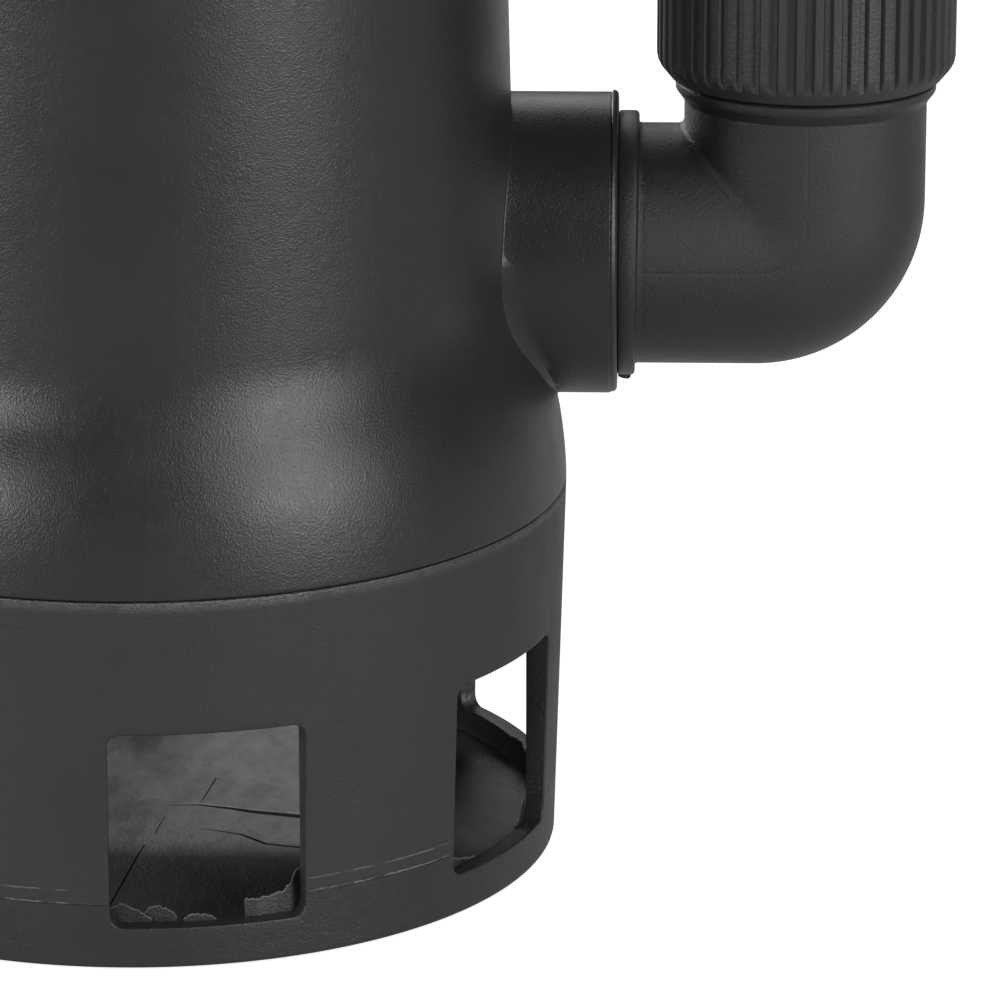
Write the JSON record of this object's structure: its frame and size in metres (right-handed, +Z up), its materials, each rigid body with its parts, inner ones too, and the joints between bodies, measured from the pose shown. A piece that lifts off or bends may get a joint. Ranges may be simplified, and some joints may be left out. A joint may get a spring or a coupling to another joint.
{
  "type": "submersible sump pump",
  "caption": "Submersible pump with a windowed base, a side outlet with a turning elbow, a ribbed union nut and a stepped hose adapter.",
  "frame": {"origin": "where the pump axis meets the floor, in the underside of the base plate", "axes": "+Z up along the pump axis and the shaft, +X along the axis of the side outlet, which passes 12.4 mm beside the pump axis"},
  "size_m": [0.2328, 0.16, 0.334],
  "materials": {
    "black_plastic": "moulded with a fine leather grain, satin",
    "grip_plastic": "moulded, satin",
    "impeller_plastic": "glass-filled, satin",
    "stainless": "satin",
    "bearing_steel": "ground",
    "cage_brass": "pressed",
    "cast_aluminium": "cast",
    "core_iron": "laminated sheet",
    "winding_copper": "varnished wire",
    "rubber": "matt",
    "seal_ceramic": "lapped",
    "seal_carbon": "lapped carbon",
    "terminal_plastic": "moulded",
    "protector_plastic": "moulded"
  },
  "bodies": {
    "pump": {"base_plate": "black_plastic", "pedestal": "black_plastic", "suction_plate": "black_plastic", "diffuser": "black_plastic", "outer_housing": "black_plastic", "motor_can": "stainless", "can_seal": "rubber", "oil_chamber_cover": "stainless", "lip_seal": "rubber", "seal_seat": "seal_ceramic", "lower_bearing_bracket": "cast_aluminium", "upper_bearing_bracket": "cast_aluminium", "lower_bearing_outer_ring": "bearing_steel", "upper_bearing_outer_ring": "bearing_steel", "stator_core": "core_iron", "stator_winding": "winding_copper", "stator_bolts": "stainless", "capacitor": "cast_aluminium", "capacitor_clip": "stainless", "thermal_protector": "protector_plastic", "terminal_block": "terminal_plastic", "top_cover": "black_plastic", "cover_seal": "rubber", "handle": "grip_plastic", "cable_gland": "black_plastic", "float_cable_gland": "black_plastic", "gland_grommets": "rubber", "base_screws": "stainless", "suction_plate_screws": "stainless", "can_screws": "stainless", "cover_screws": "stainless", "handle_screws": "stainless"},
    "rotor": {"shaft": "stainless", "shaft_key": "stainless", "rotor_core": "core_iron", "rotor_end_rings": "cast_aluminium", "impeller": "impeller_plastic", "impeller_washer": "stainless", "impeller_nut": "stainless", "seal_head": "seal_carbon", "seal_spring": "stainless", "spring_collar": "stainless", "lower_bearing_inner_ring": "bearing_steel", "upper_bearing_inner_ring": "bearing_steel"},
    "lower_ball_cage": {"lower_bearing_cage": "cage_brass", "lower_bearing_balls": "bearing_steel"},
    "upper_ball_cage": {"upper_bearing_cage": "cage_brass", "upper_bearing_balls": "bearing_steel"},
    "elbow": {"outlet_elbow": "black_plastic", "elbow_seal": "rubber"},
    "adapter": {"hose_adapter": "black_plastic", "adapter_gasket": "rubber"},
    "nut": {"union_nut": "grip_plastic"}
  },
  "joints": [
    {"name": "rotor_spin", "type": "hinge", "parent": "pump", "child": "rotor", "pos_m": [0, 0, 0.1], "axis": [0, 0, 1], "continuous": true},
    {"name": "lower_cage_spin", "type": "hinge", "parent": "pump", "child": "lower_ball_cage", "pos_m": [0, 0, 0.115], "axis": [0, 0, 1], "continuous": true},
    {"name": "upper_cage_spin", "type": "hinge", "parent": "pump", "child": "upper_ball_cage", "pos_m": [0, 0, 0.209], "axis": [0, 0, 1], "continuous": true},
    {"name": "elbow_swivel", "type": "hinge", "parent": "pump", "child": "elbow", "pos_m": [0.0894, 0.0124, 0.1134], "axis": [1, 0, 0], "range_deg": [-90, 90]},
    {"name": "adapter_lift", "type": "slide", "parent": "elbow", "child": "adapter", "axis": [0, 0, 1], "range_m": [0, 0.01626]},
    {"name": "nut_turn", "type": "hinge", "parent": "adapter", "child": "nut", "pos_m": [0.1246, 0.0124, 0.157], "axis": [0, 0, 1], "range_deg": [0, 2520]}
  ],
  "couplings": [
    {"joint": "lower_cage_spin", "follows": "rotor_spin", "ratio": 0.3636},
    {"joint": "upper_cage_spin", "follows": "rotor_spin", "ratio": 0.3636},
    {"joint": "adapter_lift", "follows": "nut_turn", "m_per_rad": 0.00036749}
  ]
}
